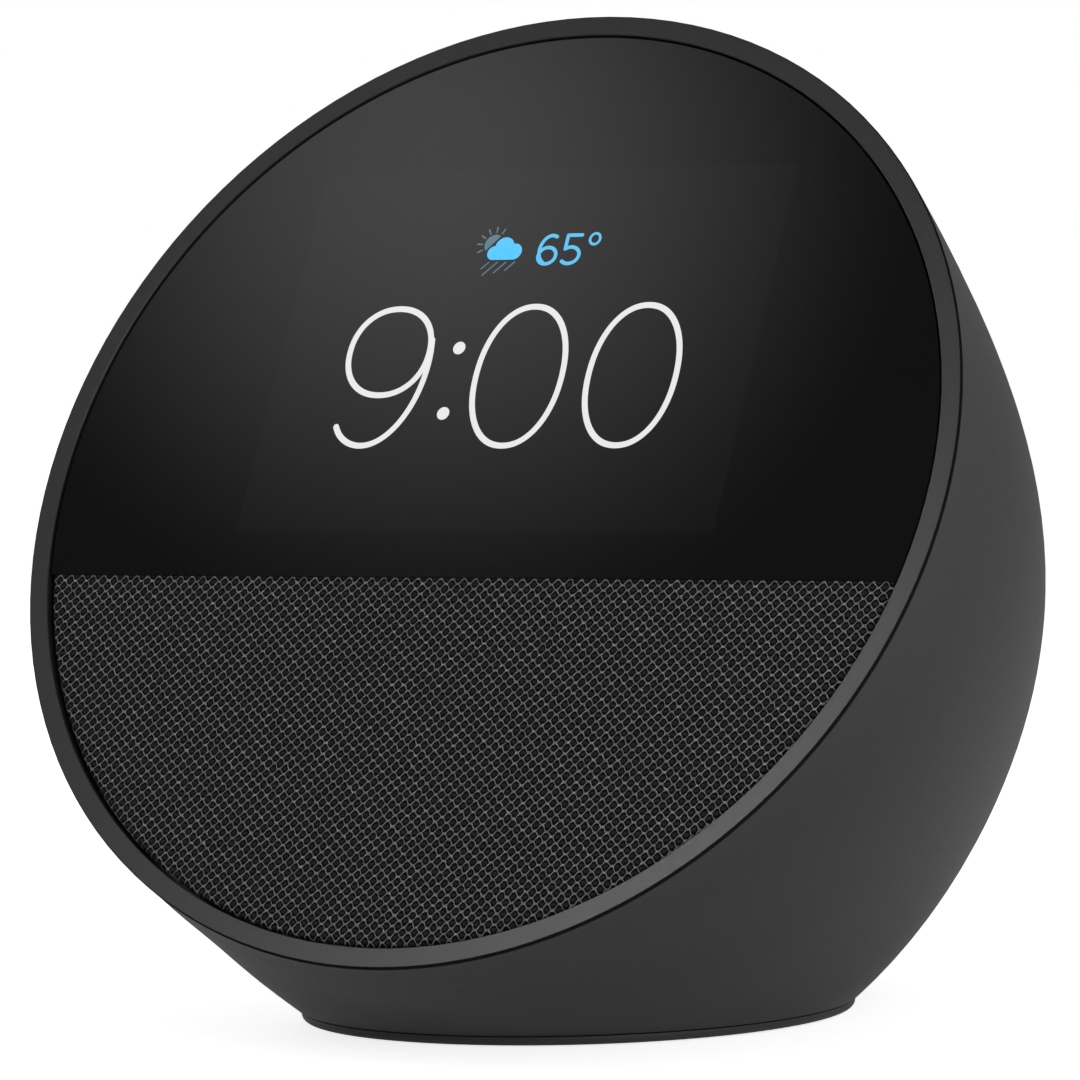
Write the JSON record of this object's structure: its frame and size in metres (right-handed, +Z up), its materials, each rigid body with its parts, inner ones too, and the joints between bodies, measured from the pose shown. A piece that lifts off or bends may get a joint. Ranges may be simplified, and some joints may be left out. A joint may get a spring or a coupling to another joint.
{
  "type": "smart speaker",
  "caption": "Rounded smart speaker with a tilted circular face: glass clock display above, cloth speaker grille below, press buttons on top and a power inlet low on the back.",
  "frame": {"origin": "centre of the round foot, on the surface the speaker stands on", "axes": "+Z up, -Y towards the listener (the side the tilted face looks to), +X to the right of a person looking at the face"},
  "size_m": [0.1128, 0.1028, 0.1092],
  "materials": {
    "housing_plastic": "fine satin texture",
    "bezel_plastic": "fine satin texture",
    "cover_glass": "polished, black printed border",
    "fabric": "knitted",
    "black_plastic": "moulded",
    "grey_plastic": "moulded",
    "rubber": "soft",
    "lcd": "polished",
    "backlight": "white",
    "steel": "stamped",
    "zinc_screw": "zinc plated",
    "aluminium": "bead blasted",
    "board": "solder mask",
    "connector": "moulded",
    "film": "polished",
    "polyimide": "film",
    "wire": "insulated",
    "magnet": "sintered",
    "cone_paper": "pressed pulp",
    "copper": "enamelled winding",
    "spider_cloth": "resin-dipped weave",
    "thermal_gel": "soft",
    "lens": "clear"
  },
  "bodies": {
    "housing": {"rear_housing": "housing_plastic", "front_bezel": "bezel_plastic", "base_plate": "housing_plastic", "rubber_foot": "rubber", "cover_glass": "cover_glass", "touch_sensor": "film", "lcd_panel": "lcd", "lcd_backlight": "backlight", "display_tray": "steel", "display_flex": "polyimide", "face_carrier": "black_plastic", "grille_frame": "black_plastic", "grille_fabric": "fabric", "speaker_gasket": "rubber", "speaker_basket": "black_plastic", "cone_surround": "rubber", "spider": "spider_cloth", "speaker_top_plate": "steel", "speaker_magnet": "magnet", "speaker_yoke": "steel", "enclosure_seal": "rubber", "speaker_enclosure": "grey_plastic", "speaker_leads": "wire", "board_frame": "grey_plastic", "main_board": "board", "soc_shield": "steel", "radio_shield": "steel", "thermal_pad": "thermal_gel", "heat_spreader": "aluminium", "board_connectors": "connector", "antenna_left": "polyimide", "antenna_right": "polyimide", "antenna_cables": "wire", "power_leads": "wire", "button_board": "board", "tact_switches": "black_plastic", "microphones": "steel", "mic_gaskets": "rubber", "dc_jack": "black_plastic", "jack_pin": "steel", "jack_board": "board", "face_screws": "zinc_screw", "display_screws": "zinc_screw", "speaker_screws": "zinc_screw", "board_screws": "zinc_screw", "button_board_screws": "zinc_screw", "jack_board_screws": "zinc_screw", "base_screws": "zinc_screw"},
    "volume_down": {"volume_down_button": "housing_plastic", "volume_down_plunger": "black_plastic"},
    "mic_mute": {"mic_mute_button": "housing_plastic", "mute_button_lens": "lens", "mic_mute_plunger": "black_plastic"},
    "volume_up": {"volume_up_button": "housing_plastic", "volume_up_plunger": "black_plastic"},
    "diaphragm": {"speaker_cone": "cone_paper", "dust_cap": "cone_paper", "voice_coil": "copper"}
  },
  "joints": [
    {"name": "volume_down_press", "type": "slide", "parent": "housing", "child": "volume_down", "axis": [0, -0.6515, -0.7587], "range_m": [0, 0.0003], "stiffness_N_per_m": 1500},
    {"name": "mic_mute_press", "type": "slide", "parent": "housing", "child": "mic_mute", "axis": [0, -0.6515, -0.7587], "range_m": [0, 0.0003], "stiffness_N_per_m": 1500},
    {"name": "volume_up_press", "type": "slide", "parent": "housing", "child": "volume_up", "axis": [0, -0.6515, -0.7587], "range_m": [0, 0.0003], "stiffness_N_per_m": 1500},
    {"name": "cone_travel", "type": "slide", "parent": "housing", "child": "diaphragm", "axis": [0, -0.8796, 0.4756], "range_m": [-0.001, 0.001], "stiffness_N_per_m": 1200, "deforming": ["cone_surround", "spider"]}
  ]
}
